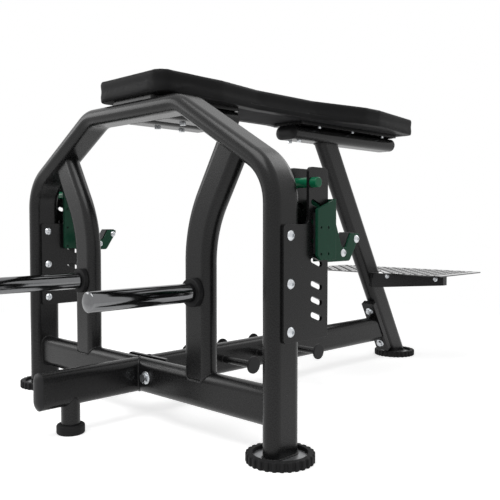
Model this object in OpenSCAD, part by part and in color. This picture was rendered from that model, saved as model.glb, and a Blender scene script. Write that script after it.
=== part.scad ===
// Seal row bench: a bent flat-oval arch with plate horns, sliding bar cups on two slotted
// towers, a waisted pad on top and a leaning rear leg with a tread plate.
// X runs to the right, Y to the rear and Z up. Values are given from the plane of the arch
// and the floor, and placed() moves the origin under the middle of the whole bench.

/* [Frame tube] */
// Wide side of the flat-oval tube
tube_wide = 100; // [94:1:106]
// Narrow side of the flat-oval tube
tube_thin = 50; // [46:1:54]
// Wall of the flat-oval tube
tube_wall = 3; // [2:0.5:4]

/* [Arch] */
// Distance of each leg's centre line from the middle
leg_x = 555; // [535:1:575]
// Height of the arch's top face
arch_top = 917; // [890:1:940]
// Distance of the upper bends from the middle
shoulder_x = 215; // [195:1:235]
// Fall of each shoulder from the upper bend to the leg
shoulder_drop = 200; // [180:1:220]
// Radius of the bends between shoulder and leg
side_bend = 130; // [110:1:150]
// Radius of the bends between top and shoulder
top_bend = 100; // [80:1:120]

/* [Base] */
// Height of the centre line of the base tubes
base_z = 127; // [120:1:135]
// Reach of the front stub ahead of the arch
stub_reach = 325; // [290:1:340]
// Distance of the stub's post ahead of the arch
post_reach = 233; // [215:1:245]
// Diameter of the stub's post
post_d = 51; // [40:1:60]
// Width of the flange that joins the rear beam to the cross tube
flange_w = 184; // [164:2:204]
// Thickness of the flanges
flange_t = 10; // [6:1:12]
// Distance of the base bolts from the middle
base_bolt_x = 60; // [52:1:68]
// Thread diameter of the base bolts
base_bolt_d = 16; // [12:1:18]

/* [Feet] */
// Diameter of the toothed rubber feet
foot_d = 168; // [156:1:180]
// Height of the toothed rubber feet
foot_h = 23; // [20:1:28]
// Number of teeth round a foot
foot_teeth = 28; // [20:1:36]
// Diameter of the steel base disc inside a foot
disc_d = 134; // [120:1:138]
// Thickness of the steel base disc
disc_t = 5; // [4:1:6]
// Thickness of the rubber under the base disc
sole_t = 9; // [6:1:12]
// Diameter of the small rubber foot under the stub
stub_foot_d = 76; // [70:1:84]
// Height of the small rubber foot
stub_foot_h = 26; // [22:1:32]

/* [Uprights and plate horns] */
// Distance of each upright's centre line from the middle
upright_x = 271; // [255:1:285]
// Height at which the uprights bend outward
upright_bend_z = 555; // [530:1:580]
// Radius of the uprights' bend
upright_bend = 330; // [280:10:380]
// Diameter of the plate horns
horn_d = 50; // [48:0.5:51]
// Wall of the plate horns
horn_wall = 4; // [3:0.5:6]
// Height of the plate horns
horn_z = 387; // [360:1:410]
// Length of the plate horns from the upright's face
horn_length = 327; // [300:1:350]
// Diameter of the rubber collars
collar_d = 76; // [66:1:90]
// Thickness of the rubber collars
collar_t = 15; // [10:1:20]

/* [Slide brackets] */
// Thickness of the bracket plates
plate_t = 8; // [6:1:9]
// Height of the bracket plates' bottom edge
plate_low = 288; // [270:1:298]
// Height at which the plates step back to the tower
plate_step = 567; // [563:1:580]
// Height of the tower's top edge
plate_top = 705; // [700:1:720]
// Reach of the plates ahead of the arch plane
plate_front = 25; // [20:1:35]
// Reach of the plates behind the arch plane
plate_rear = 138; // [134:1:142]
// Depth of the tower from front to rear
tower_depth = 73; // [68:1:78]
// Thread diameter of the bracket bolts
plate_bolt_d = 12; // [8:1:14]
// Height of the lowest bracket bolt
plate_bolt_z = 313.5; // [308:0.5:320]
// Distance between bracket bolts
plate_bolt_pitch = 113.6; // [105:0.1:116]
// Height of the lowest locking slot
slot_low = 342; // [338:0.5:345]
// Distance between the three lower slots
slot_low_pitch = 38; // [36:0.5:40]
// Height of the lowest of the upper slots
slot_high = 475; // [472:0.5:478]
// Distance between the four upper slots
slot_high_pitch = 46.5; // [45:0.5:48]
// Height of a locking slot
slot_w = 14; // [13.5:0.1:16]
// Length of a locking slot between its round ends
slot_run = 31; // [26:1:34]
// Slope of the locking slots down to the rear
slot_slope = 21; // [15:1:25]
// Diameter of the stop rod across the tower
rod_d = 25; // [20:1:28]
// Distance of the stop rod below the tower's top
rod_drop = 37.5; // [34:0.5:40]
// Projection of the stop rod past the outer plate
rod_proud = 20; // [12:1:24]

/* [Bar cups] */
// Space between a bracket plate and the carriage flange beside it
liner_space = 10; // [6:0.5:12]
// Thickness of the carriage flanges
flange_side_t = 8; // [6:1:10]
// Thickness of the carriage web
web_t = 6; // [5:1:8]
// Gap between the plates' rear edge and the web
web_gap = 4; // [3:0.5:6]
// Height of the carriage web
carriage_h = 149; // [140:1:160]
// Height of the carriage's inner flange
inner_h = 225; // [210:1:230]
// Depth of the carriage's outer flange ahead of the web
outer_depth = 65; // [58:1:70]
// Depth of the carriage's inner flange ahead of the web
inner_depth = 90; // [82:1:92]
// Distance of the carriage's bottom edge below the slot that it is locked in
carriage_below = 41.5; // [36:0.5:44]
// Distance between the two plates of a hook
hook_w = 32; // [26:1:38]
// Thickness of the hook plates
hook_t = 6; // [5:1:8]
// Reach of the hook behind the web
hook_reach = 136; // [126:1:146]
// Thread diameter of the hook bolts
hook_bolt_d = 10; // [8:1:12]
// Diameter of the locking pin
pin_d = 12; // [10:0.5:12.5]
// Travel of the locking pin
pin_travel = 14; // [12:0.5:16]
// Diameter of the pull knob
knob_d = 36; // [30:1:44]
// Length of the pull knob
knob_l = 30; // [24:1:36]

/* [Pad frame] */
// Distance of each pad arm's centre line from the middle
arm_x = 60; // [56:1:66]
// Reach of the pad arms behind the arch plane
arm_reach = 300; // [280:1:310]
// Front end of the rear top tube
top_tube_front = 650; // [620:1:670]
// Rear end of the rear top tube
top_tube_rear = 1265; // [1230:1:1285]
// Thickness of the pad plates
pad_plate_t = 12; // [8:1:14]
// Half width of the front pad plate
front_plate_x = 100; // [94:1:110]
// Half width of the rear pad plate
rear_plate_x = 72; // [70:1:80]
// Thread diameter of the long pad bolts
pad_bolt_d = 10; // [8:1:12]
// Height of the caps on the tube ends
cap_bulge = 12; // [8:1:16]

/* [Pad] */
// Reach of the pad ahead of the arch plane
pad_front = 45; // [35:1:60]
// Rear end of the pad
pad_rear = 1308; // [1290:1:1340]
// Thickness of the pad
pad_t = 64; // [56:1:72]
// Half width of the pad's front end
pad_front_x = 158; // [150:1:165]
// Half width of the pad's waist
pad_waist_x = 120; // [112:1:128]
// Half width of the pad's wide part
pad_wide_x = 170; // [162:1:178]
// Half width of the pad's rear end
pad_tail_x = 118; // [110:1:126]
// Thickness of the board under the pad
board_t = 15; // [12:1:18]
// Width of the upholstered border round the board
board_border = 35; // [30:1:36]

/* [Rear leg and foot plate] */
// Distance of the rear foot behind the arch plane
rear_foot_y = 1356; // [1330:1:1370]
// Lean of the rear leg from upright
leg_lean = 29.5; // [28:0.1:31]
// Height of the foot plate's upper face
tread_z = 370; // [350:1:390]
// Thickness of the foot plate
tread_t = 4; // [3:0.5:5]
// Half width of the foot plate
tread_x = 350; // [320:1:380]
// Front edge of the foot plate
tread_front = 1120; // [1112:1:1130]
// Rear edge of the foot plate
tread_rear = 1455; // [1400:1:1480]
// Distance of the wing behind the foot plate's front edge
wing_set = 20; // [15:1:25]
// Depth of the wing at the leg
wing_root = 60; // [50:1:70]
// Depth of the wing at its tip
wing_tip = 32; // [26:1:40]
// Thickness of the wing
wing_t = 6; // [5:1:8]
// Length of the flange folded back at the wing's tip
wing_return = 26; // [20:1:30]
// Width of the clearance notch beside the leg
notch_flare = 60; // [50:1:70]

/* [Storage pegs] */
// Distance of the first peg behind the arch plane
peg_y = 318; // [300:1:330]
// Distance between pegs
peg_pitch = 160; // [150:1:170]
// Distance of a peg's outer end from the middle
peg_reach = 160; // [145:1:175]
// Diameter of a peg
peg_d = 22; // [18:1:26]
// Diameter of a peg's end disc
peg_cap_d = 54; // [46:1:60]
// Thickness of a peg's end disc
peg_cap_t = 6; // [4:1:8]

/* [Hidden] */
$fn = 64;

// Clearance round a bolt in its hole
hole_play = 0.4;
// Gap left between a coped tube end and the tube that it is welded to
weld_gap = 0.3;
// Gap at a sliding face
slide_gap = 0.3;
// Lap of a straight run into the bend beside it
bend_lap = 1;
// Swell of the tube's section where it is bent
bend_swell = 0.05;
// Overrun of a cutting shape past the face that it cuts
past = 1;

paint_black = "#232426";
paint_green = "#2f6b50";
rubber_black = "#141517";
zinc = "#b9bdc1";
chrome = "#d2d6da";
vinyl = "#17181a";

tube_r = tube_thin / 2;
tube_flat = tube_wide - tube_thin;
leg_inner = leg_x - tube_r;
leg_outer = leg_x + tube_r;
arch_z = arch_top - tube_r;
arch_under = arch_top - tube_thin;
shoulder_z = arch_z - shoulder_drop;
shoulder_slope = atan2(shoulder_drop, leg_x - shoulder_x);
foot_floor = sole_t + disc_t;
base_top = base_z + tube_wide / 2;
base_low = base_z - tube_wide / 2;
horn_tip = -tube_r - horn_length;
origin_y = (tread_rear + horn_tip) / 2;

plate_inner = leg_inner - plate_t;
plate_outer = leg_outer + plate_t;
tower_front = plate_rear - tower_depth;
rod_y = tower_front + rod_d / 2 + 0.5;
rod_z = plate_top - rod_drop;
slot_y = plate_rear - 43.5;
slot_heights = [
    for (i = [0:2]) slot_low + i * slot_low_pitch,
    for (i = [0:3]) slot_high + i * slot_high_pitch
];
rest_slot = slot_high + slot_high_pitch;
pin_y = slot_y + slot_run / 2 * cos(slot_slope);
pin_z = rest_slot - slot_run / 2 * sin(slot_slope);

web_front = plate_rear + web_gap;
web_rear = web_front + web_t;
inner_face = plate_inner - liner_space;
outer_face = plate_outer + liner_space;
carriage_low = rest_slot - carriage_below;
carriage_top = carriage_low + carriage_h;
hook_low = carriage_low - 8;
cup_floor = carriage_low + 28;
arm_top = carriage_low + 63;
liner_proud = 2.5;
hook_end = web_rear + hook_reach;
cup_bolt_low = [web_rear + 69, carriage_low + 13];
cup_bolt_tip = [hook_end - 11, arm_top - 15];

pad_low = arch_top + pad_plate_t;
pad_top = pad_low + pad_t;
pad_bolt_top = pad_low + board_t - 4;
front_bolt_ys = [116, 212];
rear_bolt_x = 23;
rear_bolt_y = top_tube_front + 40;
plate_screw_x = rear_plate_x - 14;
plate_screw_pitch = (top_tube_rear - top_tube_front - 215) / 2;
plate_screw_ys = [for (i = [0:2]) top_tube_front + 110 + i * plate_screw_pitch];
plate_screw_d = 8;

wing_front = tread_front + wing_set;
lip_front = wing_front + wing_t;
lip_h = 26;
wing_bolt_xs = [103, 317];
wing_bolt_z = tread_z - 14;
wing_bolt_d = 8;

flange_side = 4;
flange_len = 238;
flange_foot = 57;
flange_bolt_inset = 38;
flange_bolt_d = 14;
leg_front = -tube_wide / 2;

function unit(v) = v / norm(v);
// Half of the angle at corner b between the directions to a and c
function half_angle(a, b, c) = acos(unit(a - b) * unit(c - b)) / 2;
function bend_side(a, b, c) = cross(unit(a - b), unit(c - b)) > 0 ? -1 : 1;
function bend_centre(a, b, c, r) =
    b + unit(unit(a - b) + unit(c - b)) * r / sin(half_angle(a, b, c));
function bend_start(a, b, c, r) =
    let (from = b + unit(a - b) * r / tan(half_angle(a, b, c)) - bend_centre(a, b, c, r))
    atan2(from[1], from[0]);
function bend_sweep(a, b, c) = bend_side(a, b, c) * (180 - 2 * half_angle(a, b, c));

// Points of a round corner of radius r at b
function corner_arc(a, b, c, r, steps) =
    let (centre = bend_centre(a, b, c, r), start = bend_start(a, b, c, r), sweep = bend_sweep(a, b, c))
    [for (i = [0:steps]) centre + r * [cos(start + sweep * i / steps), sin(start + sweep * i / steps)]];

// Outline of a polygon whose corners [x, y, radius] are rounded
function rounded(corners, steps = 8) =
    let (n = len(corners), xy = [for (p = corners) [p[0], p[1]]])
    [for (i = [0:n - 1]) each corners[i][2] > 0
        ? corner_arc(xy[(i + n - 1) % n], xy[i], xy[(i + 1) % n], corners[i][2], steps)
        : [xy[i]]];

// Outline moved inward by d, for an outline that runs anticlockwise
function inset(points, d) =
    let (n = len(points))
    [for (i = [0:n - 1])
        let (along = unit(points[(i + 1) % n] - points[(i + n - 1) % n]))
        points[i] + d * [-along[1], along[0]]];

// Moves the bench so that its origin lies on the floor under its middle
module placed() translate([0, -origin_y, 0]) children();
// Mirrors a right-hand piece for side -1
module on_side(side) mirror([side < 0 ? 1 : 0, 0, 0]) children();
// Stands a flat outline of [Y, Z] points upright, thick along +X from x
module upright_sheet(x, thick) translate([x, 0, 0]) rotate([90, 0, 90]) linear_extrude(thick) children();
// Lies along +X from a point
module along_x(at) translate(at) rotate([0, 90, 0]) children();
// Lies along +Y from a point
module along_y(at) translate(at) rotate([-90, 0, 0]) children();

// Flat-oval section, w across and h high
module oval(w, h) {
    r = min(w, h) / 2;
    for (s = [-1, 1]) translate([s * (w / 2 - r), s * (h / 2 - r)]) circle(r);
    square([w > h ? w - h : w, w > h ? h : h - w], center = true);
}

// Solid bar of oval section along a flat path with round bends
module bent_bar(path, radii, across, deep) {
    $fn = 48;
    last = len(path) - 1;
    cuts = [for (i = [0:last]) i == 0 || i == last ? 0
        : radii[i - 1] / tan(half_angle(path[i - 1], path[i], path[i + 1]))];
    for (i = [0:last - 1]) {
        way = unit(path[i + 1] - path[i]);
        before = i == 0 ? 0 : bend_lap;
        after = i == last - 1 ? 0 : bend_lap;
        from = path[i] + way * (cuts[i] - before);
        length = norm(path[i + 1] - path[i]) - cuts[i] - cuts[i + 1] + before + after;
        translate(from) rotate(atan2(way[1], way[0])) rotate([90, 0, 90])
            linear_extrude(length) oval(across, deep);
    }
    for (i = [1:last - 1]) {
        a = path[i - 1];
        b = path[i];
        c = path[i + 1];
        r = radii[i - 1];
        start = bend_start(a, b, c, r);
        sweep = bend_sweep(a, b, c);
        translate(bend_centre(a, b, c, r)) rotate(min(start, start + sweep))
            rotate_extrude(angle = abs(sweep)) translate([r, 0])
                oval(across + 2 * bend_swell, deep + 2 * bend_swell);
    }
}

// The path with both ends lengthened by d
function longer(path, d) =
    let (last = len(path) - 1)
    [for (i = [0:last])
        i == 0 ? path[0] + d * unit(path[0] - path[1])
        : i == last ? path[last] + d * unit(path[last] - path[last - 1])
        : path[i]];

// Hollow tube along a flat path
module bent_tube(path, radii, across, deep) difference() {
    bent_bar(path, radii, across, deep);
    bent_bar(longer(path, past), radii, across - 2 * tube_wall, deep - 2 * tube_wall);
}

// Straight hollow tube along +Z
module straight_tube(length, across, deep) difference() {
    linear_extrude(length) oval(across, deep);
    translate([0, 0, -past]) linear_extrude(length + 2 * past)
        oval(across - 2 * tube_wall, deep - 2 * tube_wall);
}

// Round head with a domed top, or a sector of it
module dome(r, h, sector = 360) {
    ball = (r * r + h * h) / (2 * h);
    rotate_extrude(angle = sector) intersection() {
        translate([0, h - ball]) circle(ball, $fn = 128);
        square([r, h]);
    }
}

// Plug with a bulged face for the open end of a tube, its rim's inner face on z = 0
module tube_cap(across, deep) {
    rim_t = 3;
    rim_step = 0.8;
    plug_l = 18;
    plug_play = 2 * (tube_wall + slide_gap);
    r = min(across, deep) / 2 - rim_step;
    half_run = abs(across - deep) / 2;
    bulge = cap_bulge - rim_t;
    ball = (r * r + bulge * bulge) / (2 * bulge);
    linear_extrude(rim_t) oval(across, deep);
    translate([0, 0, -plug_l]) linear_extrude(plug_l) oval(across - plug_play, deep - plug_play);
    translate([0, 0, rim_t]) rotate(across > deep ? 0 : 90) {
        for (s = [-1, 1]) translate([s * half_run, 0, 0]) rotate(s * -90) dome(r, bulge, 180);
        rotate([90, 0, 90]) linear_extrude(2 * half_run, center = true) intersection() {
            translate([0, bulge - ball]) circle(ball, $fn = 128);
            translate([-r, 0]) square([2 * r, bulge]);
        }
    }
}

// Hexagon-head bolt along +Z with its washer on z = 0 and a nut behind the clamped depth
module hex_bolt(d, grip, nut = true) {
    head_r = 0.9 * d;
    washer_t = 0.18 * d;
    translate([0, 0, -washer_t]) cylinder(r = 1.15 * d, h = washer_t);
    translate([0, 0, -washer_t - 0.6 * d]) cylinder(r = head_r, h = 0.6 * d, $fn = 6);
    cylinder(d = d, h = grip + (nut ? d : 0));
    if (nut) translate([0, 0, grip]) cylinder(r = head_r, h = 0.8 * d, $fn = 6);
}

// Domed bolt along +Z through the clamped depth, with the same dome at both ends
module dome_bolt(d, grip) {
    head_r = 1.04 * d;
    head_h = 0.58 * d;
    rotate([180, 0, 0]) dome(head_r, head_h);
    cylinder(d = d, h = grip);
    translate([0, 0, grip]) dome(head_r, head_h);
}

arch_path = [
    [-leg_x, foot_floor], [-leg_x, shoulder_z], [-shoulder_x, arch_z],
    [shoulder_x, arch_z], [leg_x, shoulder_z], [leg_x, foot_floor]
];
plate_bolt_zs = [for (i = [0:2]) plate_bolt_z + i * plate_bolt_pitch];

module plate_bolt_holes() for (z = plate_bolt_zs)
    along_x([plate_inner - past, 0, z]) cylinder(d = plate_bolt_d + 2 * hole_play, h = plate_outer - plate_inner + 2 * past);

module arch_frame() color(paint_black) difference() {
    rotate([90, 0, 0]) bent_tube(arch_path, [side_bend, top_bend, top_bend, side_bend], tube_thin, tube_wide);
    for (side = [-1, 1]) on_side(side) plate_bolt_holes();
}

module base_bolt_holes(from, depth) for (side = [-1, 1])
    along_y([side * base_bolt_x, from, base_z]) cylinder(d = base_bolt_d + 2 * hole_play, h = depth);

module cross_tube() color(paint_black) difference() {
    along_x([-leg_inner, 0, base_z]) rotate(90) straight_tube(2 * leg_inner, tube_thin, tube_wide);
    base_bolt_holes(-tube_r - past, tube_thin + 2 * past);
}

// Outer form of the cross tube, grown for the cope of a tube that ends on it
module cross_tube_cope() along_x([-leg_inner, 0, base_z]) rotate(90)
    linear_extrude(2 * leg_inner) oval(tube_thin + 2 * weld_gap, tube_wide + 2 * weld_gap);

module front_stub() color(paint_black) difference() {
    along_y([0, -stub_reach, base_z]) straight_tube(stub_reach, tube_thin, tube_wide);
    cross_tube_cope();
}

module stub_cap() color(rubber_black)
    translate([0, -stub_reach, base_z]) rotate([90, 0, 0]) tube_cap(tube_thin, tube_wide);

module stub_post() color(paint_black) difference() {
    translate([0, -post_reach, 6]) cylinder(d = post_d, h = base_low + tube_r - 6);
    translate([0, -post_reach, 6 - past]) cylinder(d = post_d - 2 * tube_wall, h = base_z);
    along_y([0, -post_reach - post_d, base_low + tube_r]) cylinder(r = tube_r + weld_gap, h = 2 * post_d);
    along_y([-tube_thin, -post_reach - post_d, base_low + tube_r])
        translate([0, -tube_thin, 0]) cube([2 * tube_thin, tube_thin, 2 * post_d]);
}

// Rubber cup that the post stands in
module stub_foot() color(rubber_black) translate([0, -post_reach, 0]) difference() {
    edge = 5;
    rotate_extrude() {
        square([stub_foot_d / 2 - edge, stub_foot_h]);
        translate([0, edge]) square([stub_foot_d / 2, stub_foot_h - 2 * edge]);
        for (z = [edge, stub_foot_h - edge]) translate([stub_foot_d / 2 - edge, z]) circle(edge);
    }
    translate([0, 0, 6]) cylinder(d = post_d + 2 * slide_gap, h = stub_foot_h);
}

// Places things in the rear leg's own frame: Z up its axis, -Y on its front side
module on_leg() translate([0, rear_foot_y, foot_floor]) rotate([leg_lean, 0, 0]) children();

module base_beam() color(paint_black) difference() {
    along_y([0, tube_r + flange_t, base_z]) straight_tube(rear_foot_y, tube_thin, tube_wide);
    on_leg() translate([-tube_wide, leg_front - 2 * flange_t, -rear_foot_y])
        cube([2 * tube_wide, 2 * rear_foot_y, 3 * rear_foot_y]);
}

module beam_front_flange() color(paint_black) difference() {
    corner = 12;
    translate([0, tube_r + flange_t, base_z]) rotate([90, 0, 0]) linear_extrude(flange_t) polygon(rounded([
        [-flange_w / 2, -tube_wide / 2, corner], [flange_w / 2, -tube_wide / 2, corner],
        [flange_w / 2, tube_wide / 2, corner], [-flange_w / 2, tube_wide / 2, corner]
    ]));
    base_bolt_holes(tube_r - past, flange_t + 2 * past);
}

// Bolts of the rear flange, in the rear leg's frame
flange_bolt_heights = [flange_foot + flange_bolt_inset, flange_foot + flange_len - flange_bolt_inset];
module flange_bolt_holes() for (s = flange_bolt_heights)
    along_y([0, leg_front - 3 * flange_t, s]) cylinder(d = flange_bolt_d + 2 * hole_play, h = 3 * flange_t + tube_r);

// One of the two plates that meet between beam and leg, its front face at y
module leaning_flange(y) on_leg() difference() {
    corner = 6;
    flange_half = tube_r + flange_side;
    translate([0, y + flange_t, 0]) rotate([90, 0, 0]) linear_extrude(flange_t) polygon(rounded([
        [-flange_half, flange_foot, corner], [flange_half, flange_foot, corner],
        [flange_half, flange_foot + flange_len, corner], [-flange_half, flange_foot + flange_len, corner]
    ]));
    flange_bolt_holes();
}
module beam_rear_flange() color(paint_black) leaning_flange(leg_front - 2 * flange_t);
module leg_flange() color(paint_black) leaning_flange(leg_front - flange_t);

module base_bolts() color(zinc) for (side = [-1, 1])
    along_y([side * base_bolt_x, -tube_r, base_z]) hex_bolt(base_bolt_d, tube_thin + flange_t);

module flange_bolts() color(zinc) on_leg() for (s = flange_bolt_heights)
    along_y([0, leg_front - 2 * flange_t, s]) hex_bolt(flange_bolt_d, 2 * flange_t + tube_r, nut = false);

// Top end of an upright, square on the underside of the shoulder
upright_way = [sin(shoulder_slope), cos(shoulder_slope)];
upright_rise = upright_way * ([shoulder_x, arch_z] - [upright_x, upright_bend_z]) - tube_r;
upright_end = [upright_x, upright_bend_z] + upright_way * upright_rise;

module upright(side) color(paint_black) on_side(side) difference() {
    rotate([90, 0, 0]) bent_tube(
        [[upright_x, base_top - tube_r], [upright_x, upright_bend_z], upright_end],
        [upright_bend], tube_wide, tube_thin);
    cross_tube_cope();
}
module left_upright() upright(-1);
module right_upright() upright(1);

// Chromed horn with a round end, its root turned down for the collar
module horn(side) color(chrome) translate([side * upright_x, -tube_r, horn_z]) rotate([90, 0, 0]) difference() {
    edge = 10;
    seat = collar_t + past;
    rotate_extrude() {
        square([horn_d / 2 - slide_gap, seat]);
        translate([0, seat]) square([horn_d / 2, horn_length - edge - seat]);
        square([horn_d / 2 - edge, horn_length]);
        translate([horn_d / 2 - edge, horn_length - edge]) circle(edge);
    }
    translate([0, 0, -past]) cylinder(d = horn_d - 2 * horn_wall, h = horn_length - 2 * edge);
}
module left_horn() horn(-1);
module right_horn() horn(1);

module horn_collar(side) color(rubber_black) translate([side * upright_x, -tube_r, horn_z]) rotate([90, 0, 0]) {
    edge = 3;
    bore = horn_d / 2;
    rotate_extrude() difference() {
        union() {
            square([collar_d / 2, collar_t - edge]);
            square([collar_d / 2 - edge, collar_t]);
            translate([collar_d / 2 - edge, collar_t - edge]) circle(edge);
        }
        translate([-past, -past]) square([bore + past, collar_t + 2 * past]);
    }
}
module left_horn_collar() horn_collar(-1);
module right_horn_collar() horn_collar(1);

// Rubber foot with a chamfered rim and rounded teeth
module toothed_foot() color(rubber_black) difference() {
    rim = foot_d / 2;
    chamfer = 7;
    lip = disc_d / 2 + slide_gap;
    tooth_r = 5;
    rotate_extrude() difference() {
        polygon([[0, 0], [rim - 2, 0], [rim, 2], [rim, foot_h - chamfer], [rim - chamfer, foot_h],
            [lip, foot_h], [lip, sole_t], [0, sole_t]]);
    }
    for (i = [0:foot_teeth - 1]) rotate(i * 360 / foot_teeth)
        translate([rim + tooth_r - 2, 0, -past]) cylinder(r = tooth_r, h = foot_h + 2 * past, $fn = 24);
}
module left_foot() translate([-leg_x, 0, 0]) toothed_foot();
module right_foot() translate([leg_x, 0, 0]) toothed_foot();
module rear_foot() translate([0, rear_foot_y, 0]) toothed_foot();

// Steel discs under the three legs
module base_discs() color(zinc) for (at = [[-leg_x, 0], [leg_x, 0], [0, rear_foot_y]])
    translate([at[0], at[1], sole_t]) cylinder(d = disc_d, h = disc_t);

// Outline of a bracket plate: the leg part and the tower behind it
module plate_outline() difference() {
    polygon(rounded([
        [-plate_front, plate_low, 9], [plate_rear, plate_low, 9],
        [plate_rear, plate_top, 12], [tower_front, plate_top, 12],
        [tower_front, plate_step, 15], [-plate_front, plate_step, 9]
    ]));
    for (z = slot_heights) translate([slot_y, z]) rotate(-slot_slope) oval(slot_run + slot_w, slot_w);
}
module rod_hole() along_x([plate_inner - past, rod_y, rod_z])
    cylinder(d = rod_d + 2 * slide_gap, h = plate_outer - plate_inner + 2 * past);

module outer_plate(side) color(paint_black) on_side(side) difference() {
    upright_sheet(leg_outer, plate_t) plate_outline();
    plate_bolt_holes();
    rod_hole();
}
module inner_plate(side) color(paint_black) on_side(side) difference() {
    upright_sheet(plate_inner, plate_t) plate_outline();
    plate_bolt_holes();
    rod_hole();
}
module left_outer_plate() outer_plate(-1);
module right_outer_plate() outer_plate(1);
module left_inner_plate() inner_plate(-1);
module right_inner_plate() inner_plate(1);

module plate_bolts(side) color(zinc) on_side(side) for (z = plate_bolt_zs)
    along_x([plate_inner, 0, z]) dome_bolt(plate_bolt_d, plate_outer - plate_inner);
module left_plate_bolts() plate_bolts(-1);
module right_plate_bolts() plate_bolts(1);

module stop_rod(side) color(paint_green) on_side(side) along_x([plate_inner, rod_y, rod_z]) {
    edge = 3;
    length = plate_outer - plate_inner + rod_proud;
    rotate_extrude() {
        square([rod_d / 2, length - edge]);
        square([rod_d / 2 - edge, length]);
        translate([rod_d / 2 - edge, length - edge]) circle(edge);
    }
}
module left_stop_rod() stop_rod(-1);
module right_stop_rod() stop_rod(1);

outer_screws = [
    for (y = [0.37, 0.8]) for (z = [0.1, 0.53]) [web_front - y * outer_depth, carriage_low + z * carriage_h]
];
inner_screws = [
    for (y = [0.16, 0.865]) for (z = [0.04, 0.325, 0.61]) [web_front - y * inner_depth, carriage_low + z * inner_h]
];
screw_d = 7;

// Hook plate with the open V for the bar
module hook_outline() polygon(rounded([
    [web_rear - 1, hook_low, 0], [hook_end - 41, hook_low, 12], [hook_end, arm_top - 11, 8],
    [hook_end, arm_top, 4], [hook_end - 34, arm_top, 3], [hook_end - 54, cup_floor, 5],
    [web_rear + 62, cup_floor, 8], [web_rear + 12, carriage_top, 6], [web_rear - 1, carriage_top, 0]
]));

module cup_carriage(side) color(paint_green) on_side(side) difference() {
    chamfer = 12;
    slant = 26;
    union() {
        upright_sheet(outer_face, flange_side_t) polygon([
            [web_rear, carriage_low], [web_rear, carriage_top], [web_front - outer_depth, carriage_top - slant],
            [web_front - outer_depth, carriage_low + chamfer], [web_front - outer_depth + chamfer, carriage_low]
        ]);
        upright_sheet(inner_face - flange_side_t, flange_side_t) polygon(rounded([
            [web_front - inner_depth, carriage_low, 8], [web_rear, carriage_low, 0],
            [web_rear, carriage_low + inner_h, 12], [web_front - inner_depth, carriage_low + inner_h, 12]
        ]));
        translate([inner_face - flange_side_t, web_front, carriage_low])
            cube([outer_face - inner_face + 2 * flange_side_t, web_t, carriage_h]);
        for (x = [leg_x - hook_w / 2 - hook_t, leg_x + hook_w / 2]) upright_sheet(x, hook_t) hook_outline();
    }
    for (p = outer_screws) along_x([outer_face - past, p[0], p[1]]) cylinder(d = screw_d, h = flange_side_t + 2 * past);
    for (p = inner_screws) along_x([inner_face - flange_side_t - past, p[0], p[1]])
        cylinder(d = screw_d, h = flange_side_t + 2 * past);
    cup_bolt_holes();
    along_x([inner_face - flange_side_t - past, pin_y, pin_z])
        cylinder(d = pin_d + 2 * slide_gap, h = flange_side_t + 2 * past);
}
module left_cup_carriage() cup_carriage(-1);
module right_cup_carriage() cup_carriage(1);

module cup_bolt_holes() for (p = [cup_bolt_low, cup_bolt_tip])
    along_x([leg_x - hook_w, p[0], p[1]]) cylinder(d = hook_bolt_d + 2 * hole_play, h = 2 * hook_w);

// Nylon runners between the flanges and the bracket plates
module slide_liners(side) color(rubber_black) on_side(side) difference() {
    run_t = liner_space - slide_gap;
    union() {
        upright_sheet(outer_face - run_t, run_t) polygon([
            [web_front, carriage_low + 4], [web_front, carriage_top - 34],
            [web_front - outer_depth + 4, carriage_top - 34], [web_front - outer_depth + 4, carriage_low + 16]
        ]);
        upright_sheet(inner_face, run_t) polygon([
            [web_front, carriage_low + 4], [web_front, carriage_low + inner_h - 8],
            [web_front - inner_depth + 4, carriage_low + inner_h - 8], [web_front - inner_depth + 4, carriage_low + 4]
        ]);
    }
    along_x([inner_face - past, pin_y, pin_z]) cylinder(d = pin_d + 2 * slide_gap, h = liner_space + 2 * past);
}
module left_slide_liners() slide_liners(-1);
module right_slide_liners() slide_liners(1);

// Plastic block between the hook plates that the bar lies on
module cup_liner(side) color(rubber_black) on_side(side) difference() {
    upright_sheet(leg_x - hook_w / 2 + slide_gap, hook_w - 2 * slide_gap) polygon([
        [web_rear + 52, hook_low + 4], [hook_end - 44, hook_low + 4], [hook_end - 4, arm_top - 11],
        [hook_end - 4, arm_top + liner_proud], [hook_end - 36, arm_top + liner_proud],
        [hook_end - 56, cup_floor + liner_proud], [web_rear + 60, cup_floor + liner_proud],
        [web_rear + 52, cup_floor + 18]
    ]);
    cup_bolt_holes();
}
module left_cup_liner() cup_liner(-1);
module right_cup_liner() cup_liner(1);

module cup_bolts(side) color(zinc) on_side(side) for (p = [cup_bolt_low, cup_bolt_tip])
    along_x([leg_x - hook_w / 2 - hook_t, p[0], p[1]]) dome_bolt(hook_bolt_d, hook_w + 2 * hook_t);
module left_cup_bolts() cup_bolts(-1);
module right_cup_bolts() cup_bolts(1);

// Threaded barrel that guides the locking pin, on the inner flange
barrel_d = 24;
barrel_l = 28;
barrel_start = inner_face - flange_side_t;
pin_tip = plate_inner - slide_gap - 1;
module pin_barrel(side) color(zinc) on_side(side) along_x([barrel_start - barrel_l, pin_y, pin_z]) difference() {
    union() {
        cylinder(d = barrel_d, h = barrel_l);
        translate([0, 0, barrel_l - 8]) cylinder(d = barrel_d + 8, h = 8, $fn = 6);
    }
    translate([0, 0, -past]) cylinder(d = pin_d + 2 * slide_gap, h = barrel_l + 2 * past);
}
module left_pin_barrel() pin_barrel(-1);
module right_pin_barrel() pin_barrel(1);

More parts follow.
